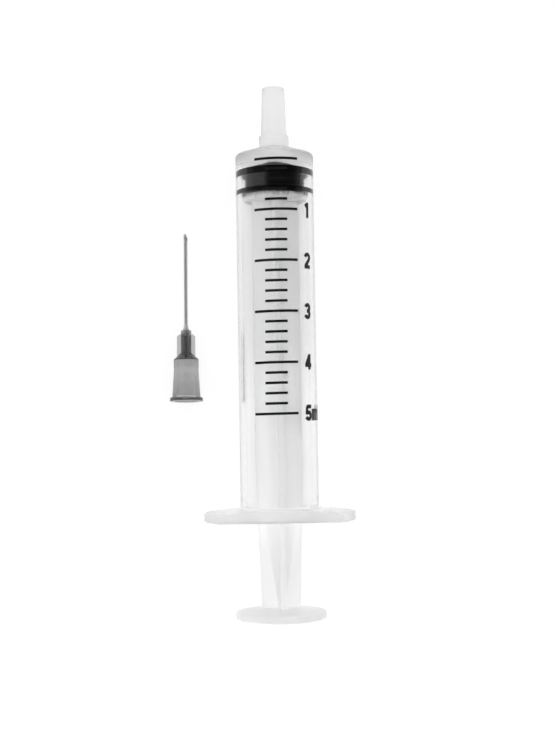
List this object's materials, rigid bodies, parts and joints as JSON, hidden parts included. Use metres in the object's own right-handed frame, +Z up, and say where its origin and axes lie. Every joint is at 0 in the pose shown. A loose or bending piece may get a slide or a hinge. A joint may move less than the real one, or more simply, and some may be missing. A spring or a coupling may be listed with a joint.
{
  "type": "syringe with needle",
  "caption": "Slip-tip syringe with a clear graduated barrel, finger flange, rubber stopper and cross-ribbed plunger, and a hypodermic needle with a finned hub lying beside it.",
  "frame": {"origin": "on the table, under the middle of the box round the syringe and the needle", "axes": "+Z up from the table, +Y towards the nozzle and the needle's point (the syringe's own axis dips towards the nozzle by about a degree, as it lies), +X from the needle to the syringe"},
  "size_m": [0.0328, 0.094, 0.0162],
  "materials": {
    "barrel_plastic": "clear moulded polypropylene",
    "ink": "screen print",
    "rubber": "smooth, oiled",
    "rod_plastic": "milky moulded polypropylene",
    "hub_plastic": "smoke-grey moulded polypropylene",
    "steel": "drawn tube",
    "adhesive": "clear cured adhesive"
  },
  "bodies": {
    "barrel": {"barrel": "barrel_plastic", "graduation": "ink", "needle_hub": "hub_plastic", "cannula": "steel", "adhesive": "adhesive"},
    "stopper": {"stopper": "rubber"},
    "plunger_rod": {"plunger_rod": "rod_plastic"}
  },
  "joints": [
    {"name": "plunger_slide", "type": "slide", "parent": "barrel", "child": "stopper", "axis": [0, 0.9998, -0.0177], "range_m": [-0.05374, 0.00106]},
    {"name": "plunger_turn", "type": "hinge", "parent": "stopper", "child": "plunger_rod", "pos_m": [0.00311, 0.02764, 0.00702], "axis": [0, 0.9998, -0.0177], "continuous": true}
  ]
}
